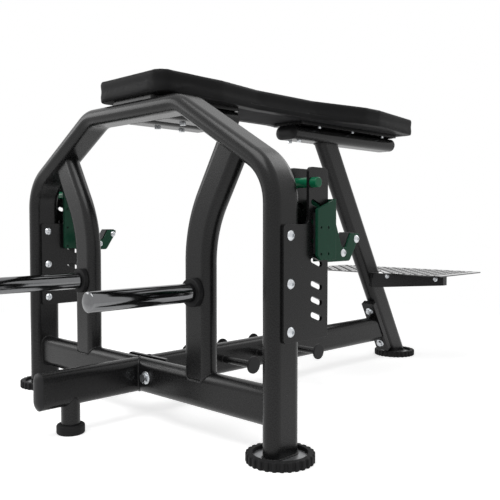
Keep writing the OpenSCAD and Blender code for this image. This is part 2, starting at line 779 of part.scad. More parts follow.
// Pin, drawn back clear of the bracket plate
module lock_pin(side) color(chrome) on_side(side) {
    from = barrel_start - barrel_l - pin_travel - slide_gap - knob_l / 2;
    along_x([from, pin_y, pin_z]) {
        cylinder(d = pin_d, h = pin_tip - from - 1.5);
        translate([0, 0, pin_tip - from - 1.5]) cylinder(d1 = pin_d, d2 = pin_d - 3, h = 1.5);
    }
}
module left_lock_pin() lock_pin(-1);
module right_lock_pin() lock_pin(1);

module pull_knob(side) color(rubber_black) on_side(side) {
    edge = 6;
    along_x([barrel_start - barrel_l - pin_travel - slide_gap - knob_l, pin_y, pin_z]) difference() {
        rotate_extrude() {
            translate([0, edge]) square([knob_d / 2, knob_l - 2 * edge]);
            square([knob_d / 2 - edge, knob_l]);
            for (z = [edge, knob_l - edge]) translate([knob_d / 2 - edge, z]) circle(edge);
        }
        translate([0, 0, knob_l / 2]) cylinder(d = pin_d, h = knob_l);
    }
}
module left_pull_knob() pull_knob(-1);
module right_pull_knob() pull_knob(1);

module rear_leg() color(paint_black) difference() {
    on_leg() translate([0, 0, -tube_wide]) straight_tube(2 * arch_top, tube_thin, tube_wide);
    translate([-tube_wide, 0, foot_floor - 2 * tube_wide]) cube([2 * tube_wide, 2 * rear_foot_y, 2 * tube_wide]);
    translate([-tube_wide, -rear_foot_y, arch_under]) cube([2 * tube_wide, 3 * rear_foot_y, 2 * arch_top]);
    on_leg() flange_bolt_holes();
}

module pad_bolt_hole(x, y, d) translate([x, y, arch_under - past])
    cylinder(d = d + 2 * hole_play, h = pad_bolt_top - arch_under + past + hole_play);
module front_bolt_holes() for (side = [-1, 1]) for (y = front_bolt_ys) pad_bolt_hole(side * arm_x, y, pad_bolt_d);
module rear_bolt_holes() for (side = [-1, 1]) pad_bolt_hole(side * rear_bolt_x, rear_bolt_y, pad_bolt_d);
module plate_screw_holes() for (side = [-1, 1]) for (y = plate_screw_ys)
    pad_bolt_hole(side * plate_screw_x, y, plate_screw_d);

module pad_arm(side) color(paint_black) difference() {
    along_y([side * arm_x, tube_flat / 2, arch_z]) straight_tube(arm_reach - tube_flat / 2, tube_wide, tube_thin);
    along_x([side * arm_x - tube_wide, tube_flat / 2, arch_z]) cylinder(r = tube_r + weld_gap, h = 2 * tube_wide);
    front_bolt_holes();
}
module left_pad_arm() pad_arm(-1);
module right_pad_arm() pad_arm(1);

module arm_caps() color(rubber_black) for (side = [-1, 1])
    along_y([side * arm_x, arm_reach, arch_z]) tube_cap(tube_wide, tube_thin);

module rear_top_tube() color(paint_black) difference() {
    along_y([0, top_tube_front, arch_z]) straight_tube(top_tube_rear - top_tube_front, tube_wide, tube_thin);
    rear_bolt_holes();
}
module top_tube_caps() color(rubber_black) {
    along_y([0, top_tube_rear, arch_z]) tube_cap(tube_wide, tube_thin);
    translate([0, top_tube_front, arch_z]) rotate([90, 0, 0]) tube_cap(tube_wide, tube_thin);
}

// Flat steel plate under the pad, from y = front to y = rear
module pad_plate(half_w, front, rear) translate([0, 0, arch_top]) linear_extrude(pad_plate_t) polygon(rounded([
    [-half_w, front, 12], [half_w, front, 12], [half_w, rear, 12], [-half_w, rear, 12]
]));
module front_pad_plate() color(paint_black) difference() {
    pad_plate(front_plate_x, -tube_flat / 2, arm_reach + 15);
    front_bolt_holes();
}
module rear_pad_plate() color(paint_black) difference() {
    pad_plate(rear_plate_x, top_tube_front, top_tube_rear - 15);
    rear_bolt_holes();
    plate_screw_holes();
}

// Hanging bolts through the tubes and short ones through the rear plate
module pad_bolt(x, y, seat, d) translate([x, y, seat]) {
    head_h = 0.8 * d;
    translate([0, 0, -head_h]) cylinder(r = 0.95 * d, h = head_h, $fn = 6);
    cylinder(d = d, h = pad_bolt_top - seat);
}
module pad_bolts() color(zinc) for (side = [-1, 1]) {
    for (y = front_bolt_ys) pad_bolt(side * arm_x, y, arch_under, pad_bolt_d);
    pad_bolt(side * rear_bolt_x, rear_bolt_y, arch_under, pad_bolt_d);
    for (y = plate_screw_ys) pad_bolt(side * plate_screw_x, y, arch_top, plate_screw_d);
}

// Plan of the pad: square front, waist, wide part and drawn-in tail
pad_half = [
    [pad_front_x, -pad_front, 38], [pad_front_x - 9, 200, 150], [pad_waist_x, 380, 200], [pad_waist_x, 655, 200],
    [pad_wide_x, 900, 150], [pad_wide_x, 985, 150], [pad_tail_x, pad_rear, 40]
];
pad_corners = [
    each pad_half,
    for (i = [len(pad_half) - 1:-1:0]) [-pad_half[i][0], pad_half[i][1], pad_half[i][2]]
];
pad_plan = rounded(pad_corners, 5);

module pad_board() color("#3a3b3d") difference() {
    translate([0, 0, pad_low]) linear_extrude(board_t) polygon(inset(pad_plan, board_border + slide_gap));
    front_bolt_holes();
    rear_bolt_holes();
    plate_screw_holes();
}

// Upholstery as rings of [inset, height]: pocket for the board, border, drawn-in side, crown
pad_rings = [
    [board_border, board_t + slide_gap], [board_border, 0], [5, 0], [1, 4], [0, 0.25 * pad_t],
    [2, 0.5 * pad_t], [0, pad_t - 12], [1, pad_t - 5], [4, pad_t - 2], [22, pad_t - 0.7]
];
crown_points = [for (p = pad_plan) [0.35 * p[0], 0.86 * (p[1] - (pad_rear - pad_front) / 2) + (pad_rear - pad_front) / 2]];

module bench_pad() color(vinyl) translate([0, 0, pad_low]) {
    n = len(pad_plan);
    points = [
        for (ring = pad_rings) each [for (p = inset(pad_plan, ring[0])) [p[0], p[1], ring[1]]],
        for (p = crown_points) [p[0], p[1], pad_t]
    ];
    last = len(pad_rings);
    polyhedron(points, [
        [for (i = [0:n - 1]) i],
        for (k = [0:last - 1]) each [for (i = [0:n - 1]) each [
            [k * n + i, (k + 1) * n + i, (k + 1) * n + (i + 1) % n],
            [k * n + i, (k + 1) * n + (i + 1) % n, k * n + (i + 1) % n]
        ]],
        [for (i = [n - 1:-1:0]) last * n + i]
    ]);
}

// Tread sheet notched round the leg, with a lip under its right half that the wing is bolted to
module foot_plate() color(paint_black) difference() {
    notch = tube_r + weld_gap;
    flare = tube_r + notch_flare;
    leg_y = rear_foot_y - (tread_z - foot_floor) * tan(leg_lean);
    notch_rear = leg_y + tube_wide / 2 / cos(leg_lean) + tread_t + weld_gap;
    lip_end = tread_x - wing_t - 4;
    union() {
        translate([0, 0, tread_z - tread_t]) linear_extrude(tread_t) polygon(rounded([
            [-tread_x, tread_front, 4], [tread_x, tread_front, 4], [tread_x, tread_rear, 18], [-tread_x, tread_rear, 18]
        ]));
        translate([flare, lip_front, tread_z - lip_h]) cube([lip_end - flare, tread_t, lip_h - 1]);
    }
    translate([0, 0, tread_z - 2 * tread_t]) linear_extrude(3 * tread_t) polygon([
        [-notch, 0], [flare + 12, 0], [flare + 12, tread_front + 8], [flare, wing_front + wing_t],
        [notch + 8, notch_rear - 16], [notch, notch_rear], [-notch, notch_rear]
    ]);
    wing_bolt_holes();
}

module wing_bolt_holes() for (x = wing_bolt_xs)
    along_y([x, wing_front - past, wing_bolt_z]) cylinder(d = wing_bolt_d + 2 * hole_play, h = wing_t + tread_t + 2 * past);

// Tapered wing on the leg's right side, folded back at its tip
module foot_plate_wing() color(paint_black) difference() {
    top = tread_z - tread_t;
    union() {
        translate([0, lip_front, 0]) rotate([90, 0, 0]) linear_extrude(wing_t) polygon([
            [tube_r, top - wing_root], [tread_x, top - wing_tip], [tread_x, top], [tube_r, top]
        ]);
        translate([tread_x - wing_t, wing_front, top - wing_tip]) cube([wing_t, wing_return, wing_tip]);
    }
    wing_bolt_holes();
}

module foot_plate_bolts() color(zinc) for (x = wing_bolt_xs)
    along_y([x, wing_front, wing_bolt_z]) hex_bolt(wing_bolt_d, wing_t + tread_t);

peg_ys = [for (i = [0:2]) peg_y + i * peg_pitch];
module storage_pegs() color(paint_black) for (side = [-1, 1]) on_side(side) for (y = peg_ys)
    along_x([tube_r, y, base_z]) cylinder(d = peg_d, h = peg_reach - peg_cap_t - tube_r);
module peg_discs() color(rubber_black) for (side = [-1, 1]) on_side(side) for (y = peg_ys)
    along_x([peg_reach - peg_cap_t, y, base_z]) {
        edge = 2;
        rotate_extrude() {
            square([peg_cap_d / 2, peg_cap_t - edge]);
            square([peg_cap_d / 2 - edge, peg_cap_t]);
            translate([peg_cap_d / 2 - edge, peg_cap_t - edge]) circle(edge);
        }
    }

placed() arch_frame();
placed() cross_tube();
placed() front_stub();
placed() stub_cap();
placed() stub_post();
placed() stub_foot();
placed() base_beam();
placed() beam_front_flange();
placed() beam_rear_flange();
placed() leg_flange();
placed() base_bolts();
placed() flange_bolts();
placed() left_upright();
placed() right_upright();
placed() left_horn();
placed() right_horn();
placed() left_horn_collar();
placed() right_horn_collar();
placed() left_foot();
placed() right_foot();
placed() rear_foot();
placed() base_discs();
placed() left_outer_plate();
placed() right_outer_plate();
placed() left_inner_plate();
placed() right_inner_plate();
placed() left_plate_bolts();
placed() right_plate_bolts();
placed() left_stop_rod();
placed() right_stop_rod();
placed() left_cup_carriage();
placed() right_cup_carriage();
placed() left_slide_liners();
placed() right_slide_liners();
placed() left_cup_liner();
placed() right_cup_liner();
placed() left_cup_bolts();
placed() right_cup_bolts();
placed() left_pin_barrel();
placed() right_pin_barrel();
placed() left_lock_pin();
placed() right_lock_pin();
placed() left_pull_knob();
placed() right_pull_knob();
placed() rear_leg();
placed() left_pad_arm();
placed() right_pad_arm();
placed() arm_caps();
placed() rear_top_tube();
placed() top_tube_caps();
placed() front_pad_plate();
placed() rear_pad_plate();
placed() pad_bolts();
placed() pad_board();
placed() bench_pad();
placed() foot_plate();
placed() foot_plate_wing();
placed() foot_plate_bolts();
placed() storage_pegs();
placed() peg_discs();
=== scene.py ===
import math

import bmesh
import bpy
from mathutils import Matrix, Vector


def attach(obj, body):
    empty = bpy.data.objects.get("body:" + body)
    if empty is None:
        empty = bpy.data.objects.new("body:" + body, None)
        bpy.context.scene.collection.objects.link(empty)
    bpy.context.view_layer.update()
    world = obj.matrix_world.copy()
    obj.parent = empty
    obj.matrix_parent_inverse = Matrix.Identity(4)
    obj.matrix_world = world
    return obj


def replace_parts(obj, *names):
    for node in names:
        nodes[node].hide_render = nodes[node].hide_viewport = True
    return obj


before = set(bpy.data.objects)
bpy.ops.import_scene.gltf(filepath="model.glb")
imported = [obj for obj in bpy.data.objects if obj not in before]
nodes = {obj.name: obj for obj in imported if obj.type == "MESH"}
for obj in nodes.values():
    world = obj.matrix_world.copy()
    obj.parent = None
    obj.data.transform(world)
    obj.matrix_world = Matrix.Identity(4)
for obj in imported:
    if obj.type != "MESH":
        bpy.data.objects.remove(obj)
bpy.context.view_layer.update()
sides = {"left": -1, "right": 1}
print("frame loaded", len(nodes), "nodes")

# sizes that several pieces share, in metres
tube = {"wide": 0.100, "thin": 0.050, "legX": 0.555, "baseZ": 0.127, "archTop": 0.917, "shift": -0.5515,
        "lean": math.radians(29.5), "footY": 0.8045, "footZ": 0.014}
tube["half"] = tube["thin"] / 2
tube["legIn"] = tube["legX"] - tube["half"]


# materials

def newMaterial(name):
    material = bpy.data.materials.new(name)
    material.use_nodes = True
    return material, material.node_tree, material.node_tree.nodes["Principled BSDF"]


def addNode(tree, kind, inputs=None, **settings):
    node = tree.nodes.new(kind)
    for key, value in settings.items():
        setattr(node, key, value)
    for key, value in (inputs or {}).items():
        node.inputs[key].default_value = value
    return node


def objectNoise(tree, scale, detail=3.0, rough=0.5, stretch=(1, 1, 1)):
    coords = addNode(tree, "ShaderNodeTexCoord")
    mapping = addNode(tree, "ShaderNodeMapping", {"Scale": stretch})
    noise = addNode(tree, "ShaderNodeTexNoise", {"Scale": scale, "Detail": detail, "Roughness": rough})
    tree.links.new(coords.outputs["Object"], mapping.inputs["Vector"])
    tree.links.new(mapping.outputs["Vector"], noise.inputs["Vector"])
    return noise.outputs["Fac"]


def mapRange(tree, value, low, high, fromLow=0.3, fromHigh=0.7):
    limits = {"From Min": fromLow, "From Max": fromHigh, "To Min": low, "To Max": high}
    node = addNode(tree, "ShaderNodeMapRange", limits)
    tree.links.new(value, node.inputs["Value"])
    return node.outputs["Result"]


def mixColours(tree, factor, first, second):
    node = addNode(tree, "ShaderNodeMix", data_type="RGBA")
    tree.links.new(factor, node.inputs[0])
    node.inputs[6].default_value = (*first, 1)
    node.inputs[7].default_value = (*second, 1)
    return node.outputs[2]


def combine(tree, operation, first, second):    # each value is a number or a socket
    node = addNode(tree, "ShaderNodeMath", operation=operation)
    for socket, value in zip(node.inputs, (first, second)):
        if isinstance(value, (int, float)):
            socket.default_value = value
        else:
            tree.links.new(value, socket)
    return node.outputs[0]


def addBump(tree, shader, height, strength, distance, edge=0.0):
    bump = addNode(tree, "ShaderNodeBump", {"Strength": strength, "Distance": distance})
    tree.links.new(height, bump.inputs["Height"])
    if edge:    # softened edges under the fine relief
        soft = addNode(tree, "ShaderNodeBevel", {"Radius": edge}, samples=6)
        tree.links.new(soft.outputs["Normal"], bump.inputs["Normal"])
    tree.links.new(bump.outputs["Normal"], shader.inputs["Normal"])


def powderCoat(name, base, rubbed, rough, peel, edge, gloss=0.26):
    material, tree, shader = newMaterial(name)
    shader.inputs["Specular IOR Level"].default_value = gloss
    patches = objectNoise(tree, 9, 4, 0.6)
    specks = objectNoise(tree, 260, 2, 0.6)
    tone = mixColours(tree, mapRange(tree, patches, 0, 1), base, rubbed)
    tree.links.new(tone, shader.inputs["Base Color"])
    tree.links.new(mapRange(tree, specks, rough - 0.02, rough + 0.03), shader.inputs["Roughness"])
    addBump(tree, shader, objectNoise(tree, 620, 2, 0.5), peel, 0.0003, edge)
    return material


coat = {
    "black": (0.0075, 0.0075, 0.0078), "blackRubbed": (0.0100, 0.0100, 0.0103),
    "green": (0.008, 0.058, 0.032), "greenRubbed": (0.011, 0.068, 0.038),
    # the rod's green is the carriage green painted lighter: a painted lit copy of the same paint, with random rubbed
    # patches
    "rod": (0.005, 0.130, 0.058), "rodRubbedPaintedLit": (0.008, 0.145, 0.066),
}
frameCoat = powderCoat("frameCoat", coat["black"], coat["blackRubbed"], 0.27, 0.05, 0.0012)
cupCoat = powderCoat("cupCoat", coat["green"], coat["greenRubbed"], 0.32, 0.10, 0.0026, 0.14)
# painted light: the rod paint is a lighter, lit copy of the carriage's green
rodCoatPaintedLit = powderCoat("rodCoatPaintedLit", coat["rod"], coat["rodRubbedPaintedLit"], 0.10, 0.04, 0.0008, 0.20)


def bareMetal(name, colour, dull, rough, scuff, stretch, edge=0.0006):
    material, tree, shader = newMaterial(name)
    shader.inputs["Metallic"].default_value = 1
    marks = objectNoise(tree, 70, 5, 0.65, stretch)
    tone = mixColours(tree, mapRange(tree, marks, 0, 1), colour, dull)
    tree.links.new(tone, shader.inputs["Base Color"])
    tree.links.new(mapRange(tree, marks, rough, rough + scuff), shader.inputs["Roughness"])
    addBump(tree, shader, marks, 0.08, 0.0002, edge)
    return material


# painted shade: the chrome's low base colour darkens the horns as if they reflected dark surroundings; the dull tone
# is random scuffing
hornChromePaintedShade = bareMetal("hornChromePaintedShade", (0.180, 0.182, 0.186), (0.150, 0.152, 0.156), 0.05, 0.06, (1, 14, 1))
pinSteel = bareMetal("pinSteel", (0.60, 0.61, 0.62), (0.48, 0.49, 0.50), 0.22, 0.12, (12, 1, 1))
boltZinc = bareMetal("boltZinc", (0.66, 0.68, 0.70), (0.50, 0.52, 0.54), 0.24, 0.16, (1, 1, 1))
boltBlack = bareMetal("boltBlack", (0.030, 0.030, 0.032), (0.020, 0.020, 0.022), 0.36, 0.16, (1, 1, 1))
discSteel = bareMetal("discSteel", (0.38, 0.386, 0.392), (0.30, 0.306, 0.312), 0.30, 0.16, (3, 3, 1))
treadCoat = powderCoat("treadCoat", coat["black"], coat["blackRubbed"], 0.06, 0.015, 0.0008, 1.0)


def mouldedBlack(name, colour, worn, rough, grain, grainScale, depth, edge):
    material, tree, shader = newMaterial(name)
    shader.inputs["Specular IOR Level"].default_value = 0.22
    dust = objectNoise(tree, 18, 5, 0.6)
    tone = mixColours(tree, mapRange(tree, dust, 0, 1, 0.35, 0.75), colour, worn)
    tree.links.new(tone, shader.inputs["Base Color"])
    tree.links.new(mapRange(tree, dust, rough, rough + 0.12), shader.inputs["Roughness"])
    addBump(tree, shader, objectNoise(tree, grainScale, 3, 0.6), grain, depth, edge)
    return material


blacks = {
    "rubber": ((0.005, 0.005, 0.0055), (0.011, 0.011, 0.0115)),
    "plastic": ((0.012, 0.012, 0.013), (0.018, 0.018, 0.019)),
    "nylon": ((0.014, 0.014, 0.015), (0.026, 0.026, 0.027)),
    "cloth": ((0.010, 0.010, 0.011), (0.016, 0.016, 0.017)),
    "vinyl": ((0.0165, 0.0165, 0.0169), (0.0215, 0.0215, 0.0220)),
}
footRubber = mouldedBlack("footRubber", *blacks["rubber"], 0.62, 0.30, 480, 0.0004, 0.0016)
capPlastic = mouldedBlack("capPlastic", *blacks["plastic"], 0.42, 0.25, 900, 0.0002, 0.0010)
linerNylon = mouldedBlack("linerNylon", *blacks["nylon"], 0.40, 0.15, 700, 0.0002, 0.0008)
boardCloth = mouldedBlack("boardCloth", *blacks["cloth"], 0.80, 0.50, 1100, 0.0003, 0.0010)


def padVinyl(name):
    material, tree, shader = newMaterial(name)
    shader.inputs["Specular IOR Level"].default_value = 0.03
    coords = addNode(tree, "ShaderNodeTexCoord")
    cells = addNode(tree, "ShaderNodeTexVoronoi", {"Scale": 620.0}, feature="DISTANCE_TO_EDGE")
    tree.links.new(coords.outputs["Object"], cells.inputs["Vector"])
    folds = objectNoise(tree, 30, 4, 0.6)
    sweat = objectNoise(tree, 6, 4, 0.6)
    tone = mixColours(tree, mapRange(tree, sweat, 0, 1), *blacks["vinyl"])
    tree.links.new(tone, shader.inputs["Base Color"])
    tree.links.new(mapRange(tree, sweat, 0.34, 0.44), shader.inputs["Roughness"])
    grain = mapRange(tree, cells.outputs["Distance"], 0, 1, 0.0, 0.35)
    height = addNode(tree, "ShaderNodeMath", operation="MULTIPLY_ADD")
    height.inputs[1].default_value = 2.5
    tree.links.new(folds, height.inputs[0])
    tree.links.new(grain, height.inputs[2])
    addBump(tree, shader, height.outputs[0], 0.22, 0.0003)
    return material


benchVinyl = padVinyl("benchVinyl")
print("materials made")

nodeFinish = {
    frameCoat: ["arch_frame", "cross_tube", "front_stub", "stub_post", "base_beam", "beam_front_flange",
                "beam_rear_flange", "leg_flange", "left_upright", "right_upright", "left_outer_plate",
                "right_outer_plate", "left_inner_plate", "right_inner_plate", "rear_leg", "left_pad_arm",
                "right_pad_arm", "rear_top_tube", "front_pad_plate", "rear_pad_plate", "foot_plate_wing",
                "storage_pegs"],
    cupCoat: ["left_cup_carriage", "right_cup_carriage"],
    rodCoatPaintedLit: ["left_stop_rod", "right_stop_rod"],
    hornChromePaintedShade: ["left_horn", "right_horn"],
    pinSteel: ["left_lock_pin", "right_lock_pin"],
    boltZinc: ["base_bolts", "flange_bolts", "left_plate_bolts", "right_plate_bolts", "left_cup_bolts",
               "right_cup_bolts", "left_pin_barrel", "right_pin_barrel", "pad_bolts", "foot_plate_bolts"],
    discSteel: ["base_discs"],
    footRubber: ["left_foot", "right_foot", "rear_foot", "stub_foot", "left_horn_collar", "right_horn_collar"],
    capPlastic: ["stub_cap", "arm_caps", "top_tube_caps", "peg_discs", "left_pull_knob", "right_pull_knob"],
    linerNylon: ["left_slide_liners", "right_slide_liners", "left_cup_liner", "right_cup_liner"],
    boardCloth: ["pad_board"],
    benchVinyl: ["bench_pad"],
    treadCoat: ["foot_plate"],
}
for material, names in nodeFinish.items():
    for name in names:
        nodes[name].data.materials.clear()
        nodes[name].data.materials.append(material)
print("node finishes set")


# building helpers

def dress(mesh, material):
    mesh.materials.clear()
    mesh.materials.append(material)
    mesh.polygons.foreach_set("use_smooth", [True] * len(mesh.polygons))


def newPiece(name, mesh, material, body):
    dress(mesh, material)
    piece = looseObject(name, mesh)
    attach(piece, body)
    return piece


def meshFrom(bm, name, clean=True):
    if clean:
        bmesh.ops.remove_doubles(bm, verts=bm.verts, dist=1e-6)
        bmesh.ops.recalc_face_normals(bm, faces=bm.faces)
    mesh = bpy.data.meshes.new(name)
    bm.to_mesh(mesh)
    bm.free()
    return mesh


def evaluated(piece):
    depsgraph = bpy.context.evaluated_depsgraph_get()
    return bpy.data.meshes.new_from_object(piece.evaluated_get(depsgraph))


def dropObject(piece):
    bpy.data.objects.remove(piece, do_unlink=True)


def looseObject(name, mesh):
    piece = bpy.data.objects.new(name, mesh)
    bpy.context.scene.collection.objects.link(piece)
    return piece


def cutMesh(mesh, cutter, operation="DIFFERENCE", solver="EXACT"):
    body, tool = looseObject("cutBody", mesh), looseObject("cutTool", cutter)
    change = body.modifiers.new("cut", "BOOLEAN")
    change.object, change.operation, change.solver = tool, operation, solver
    result = evaluated(body)
    dropObject(body)
    dropObject(tool)
    return result


def spun(profile, steps=40):
    bm = bmesh.new()
    verts = [bm.verts.new((r, 0, z)) for r, z in profile]
    edges = [bm.edges.new(pair) for pair in zip(verts, verts[1:])]
    bmesh.ops.spin(bm, geom=verts + edges, cent=(0, 0, 0), axis=(0, 0, 1), angle=2 * math.pi, steps=steps,
                   use_merge=True)
    return bm


def aim(place, way):
    return Matrix.Translation(place) @ Vector((0, 0, 1)).rotation_difference(Vector(way)).to_matrix().to_4x4()


def gather(parts, name):
    bm = bmesh.new()
    for mesh, matrix in parts:
        copy = mesh.copy()
        copy.transform(matrix)
        bm.from_mesh(copy)
        bpy.data.meshes.remove(copy)
    mesh = bpy.data.meshes.new(name)
    bm.to_mesh(mesh)
    bm.free()
    return mesh


def sharpEdges(mesh, degrees=32):
    bm = bmesh.new()
    bm.from_mesh(mesh)
    for edge in bm.edges:
        edge.smooth = len(edge.link_faces) == 2 and edge.calc_face_angle(0) < math.radians(degrees)
    bm.to_mesh(mesh)
    bm.free()
    return mesh


def shifted(x, y, z):    # a place given from the plane of the arch
    return Vector((x, y + tube["shift"], z))


# bolts

def domeHead(radius, height, socket):
    ball = (radius * radius + height * height) / (2 * height)
    arc = [(radius * i / 8, height - ball + math.sqrt(ball ** 2 - (radius * i / 8) ** 2)) for i in range(9)]
    bm = spun([(0, -0.0005), (radius, -0.0005)] + [(r, z) for r, z in reversed(arc)])
    hexagon = bmesh.new()
    bmesh.ops.create_cone(hexagon, cap_ends=True, segments=6, radius1=socket, radius2=socket, depth=height,
                          matrix=Matrix.Translation((0, 0, height)))
    return sharpEdges(cutMesh(meshFrom(bm, "dome"), meshFrom(hexagon, "socket")))


hexForm = {"faceR": 0.9, "cornerR": 1.06, "topR": 0.86, "slope": 0.14}    # shares of the radius


def hexBlock(radius, height, bothEnds=False):
    hexagon = bmesh.new()
    bmesh.ops.create_cone(hexagon, cap_ends=True, segments=6, radius1=radius, radius2=radius, depth=height,
                          matrix=Matrix.Translation((0, 0, height / 2)))
    slope, corner = hexForm["slope"] * radius, hexForm["cornerR"] * radius
    low = [(0, 0), (hexForm["faceR"] * radius, 0), (corner, slope)] if bothEnds else [(0, 0), (corner, 0)]
    turned = spun(low + [(corner, height - slope), (hexForm["topR"] * radius, height), (0, height)])
    return sharpEdges(cutMesh(meshFrom(hexagon, "hexagon"), meshFrom(turned, "turned"), "INTERSECT"))


def rod(radius, length, threadPitch=0.0015):
    turns = int(length / threadPitch)
    profile = [(0, 0), (0.9 * radius, 0)]
    for i in range(turns):
        profile += [(radius, (i + 0.5) * threadPitch), (0.9 * radius, (i + 1) * threadPitch)]
    return meshFrom(spun(profile + [(0, turns * threadPitch)], 16), "rod")


def washer(radius, thick):
    edge = 0.25 * thick
    profile = [(0, 0), (radius - edge, 0), (radius, edge), (radius, thick - edge), (radius - edge, thick), (0, thick)]
    return meshFrom(spun(profile), "washer")


plateBolt = {"inner": 0.522, "outer": 0.588, "radius": 0.01248, "height": 0.00696, "socket": 0.0046,
             "zs": [0.3135, 0.4271, 0.5407]}
plateHead = domeHead(plateBolt["radius"], plateBolt["height"], plateBolt["socket"])
for side, sign in sides.items():
    parts = []
    for z in plateBolt["zs"]:
        parts.append((plateHead, aim(shifted(sign * plateBolt["outer"], 0, z), (sign, 0, 0))))
        parts.append((plateHead, aim(shifted(sign * plateBolt["inner"], 0, z), (-sign, 0, 0))))
    piece = newPiece(side + "PlateBoltHeads", gather(parts, side + "PlateBoltHeads"), boltZinc, "frame")
    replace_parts(piece, side + "_plate_bolts")

cupBolt = {"radius": 0.0104, "height": 0.0058, "socket": 0.0038, "halfGrip": 0.022,
           "places": [(0.217, 0.493), (0.273, 0.528)]}
cupHead = domeHead(cupBolt["radius"], cupBolt["height"], cupBolt["socket"])
for side, sign in sides.items():
    parts = []
    for y, z in cupBolt["places"]:
        for way in (-1, 1):
            place = shifted(sign * tube["legX"] + way * cupBolt["halfGrip"], y, z)
            parts.append((cupHead, aim(place, (way, 0, 0))))
    piece = newPiece(side + "CupBoltHeads", gather(parts, side + "CupBoltHeads"), boltZinc, side + "_cup")
    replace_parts(piece, side + "_cup_bolts")


boltForm = {"washerR": 1.15, "washerT": 0.18, "hexR": 0.9, "headT": 0.6, "nutT": 0.8, "tail": 0.995}    # shares of d


def hexBolt(d, grip, nut=True):
    under = Matrix.Translation((0, 0, -boltForm["washerT"] * d))
    parts = [(washer(boltForm["washerR"] * d, boltForm["washerT"] * d), under)]
    parts.append((hexBlock(boltForm["hexR"] * d, boltForm["headT"] * d), under @ Matrix.Rotation(math.pi, 4, "X")))
    if nut:
        far = Matrix.Translation((0, 0, grip))
        parts.append((hexBlock(boltForm["hexR"] * d, boltForm["nutT"] * d, True), far))
        parts.append((rod(0.5 * d, boltForm["tail"] * d), far))
    return gather(parts, "hexBolt")


baseBolt = {"d": 0.016, "grip": 0.060, "xs": (-0.060, 0.060)}
baseHead = hexBolt(baseBolt["d"], baseBolt["grip"])
parts = [(baseHead, aim(shifted(x, -tube["half"], tube["baseZ"]), (0, 1, 0))) for x in baseBolt["xs"]]
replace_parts(newPiece("baseBoltHeads", gather(parts, "baseBoltHeads"), boltZinc, "frame"), "base_bolts")

legFrame = Matrix.Translation((0, tube["footY"], tube["footZ"])) @ Matrix.Rotation(tube["lean"], 4, "X")
flangeBolt = {"d": 0.014, "grip": 0.045, "front": -0.070, "heights": (0.095, 0.257)}
flangeHead = hexBolt(flangeBolt["d"], flangeBolt["grip"], nut=False)
parts = [(flangeHead, legFrame @ aim((0, flangeBolt["front"], s), (0, 1, 0))) for s in flangeBolt["heights"]]
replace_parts(newPiece("flangeBoltHeads", gather(parts, "flangeBoltHeads"), boltZinc, "frame"), "flange_bolts")

wingBolt = {"d": 0.008, "grip": 0.010, "xs": (0.103, 0.317), "y": 1.140, "z": 0.356}
wingHead = hexBolt(wingBolt["d"], wingBolt["grip"])
parts = [(wingHead, aim(shifted(x, wingBolt["y"], wingBolt["z"]), (0, 1, 0))) for x in wingBolt["xs"]]
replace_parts(newPiece("wingBoltHeads", gather(parts, "wingBoltHeads"), boltZinc, "frame"), "foot_plate_bolts")

runnerScrew = {"radius": 0.0032, "height": 0.0010, "socket": 0.0014, "shankR": 0.0029, "shankLength": 0.0060,
               "sunk": 0.0026, "outerX": 0.606, "innerX": 0.504,
               "outer": [(y, z) for y in (0.11795, 0.0900) for z in (0.4949, 0.5590)],
               "inner": [(y, z) for y in (0.1276, 0.06415) for z in (0.4890, 0.5531, 0.6173)]}
shank = aim((0, 0, 0), (0, 0, -1))
runnerDome = domeHead(runnerScrew["radius"], runnerScrew["height"], runnerScrew["socket"])
runnerShank = washer(runnerScrew["shankR"], runnerScrew["shankLength"])
runnerHead = gather([(runnerDome, Matrix.Identity(4)), (runnerShank, shank)], "runnerHead")
for side, sign in sides.items():
    outerX, innerX = runnerScrew["outerX"] - runnerScrew["sunk"], runnerScrew["innerX"] + runnerScrew["sunk"]
    parts = [(runnerHead, aim(shifted(sign * outerX, y, z), (sign, 0, 0))) for y, z in runnerScrew["outer"]]
    parts += [(runnerHead, aim(shifted(sign * innerX, y, z), (-sign, 0, 0))) for y, z in runnerScrew["inner"]]
    newPiece(side + "RunnerScrews", gather(parts, side + "RunnerScrews"), boltBlack, side + "_cup")
print("bolts made")


# horns, turned with a rounded edge and a shallow dome

hornSet = {"radius": 0.025, "root": 0.0247, "seat": 0.01502, "length": 0.327, "edge": 0.004, "edgeTurn": 74,
           "x": 0.271, "z": 0.387}
edge, turn = hornSet["edge"], math.radians(hornSet["edgeTurn"])
innerR = hornSet["radius"] - edge * (1 - math.cos(turn))
dome = innerR / math.tan(turn) / 2
edgeFoot = hornSet["length"] - dome - edge * math.sin(turn)
profile = [(0, 0), (hornSet["root"], 0), (hornSet["root"], hornSet["seat"]), (hornSet["radius"], hornSet["seat"])]
profile += [(hornSet["radius"], hornSet["seat"] + (edgeFoot - hornSet["seat"]) * i / 6) for i in range(1, 7)]
profile += [(hornSet["radius"] - edge + edge * math.cos(turn * i / 8), edgeFoot + edge * math.sin(turn * i / 8))
            for i in range(1, 9)]
profile += [(innerR * (1 - i / 6), hornSet["length"] - dome * (1 - i / 6) ** 2) for i in range(1, 7)]
hornMesh = sharpEdges(meshFrom(spun(profile, 96), "horn"), 50)
for side, sign in sides.items():
    place = aim(shifted(sign * hornSet["x"], -tube["half"], hornSet["z"]), (0, -1, 0))
    mesh = gather([(hornMesh, place)], side + "HornShell")
    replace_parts(newPiece(side + "HornShell", mesh, hornChromePaintedShade, "frame"), side + "_horn")
print("horns made")


# rubber feet with rounded teeth round the rim

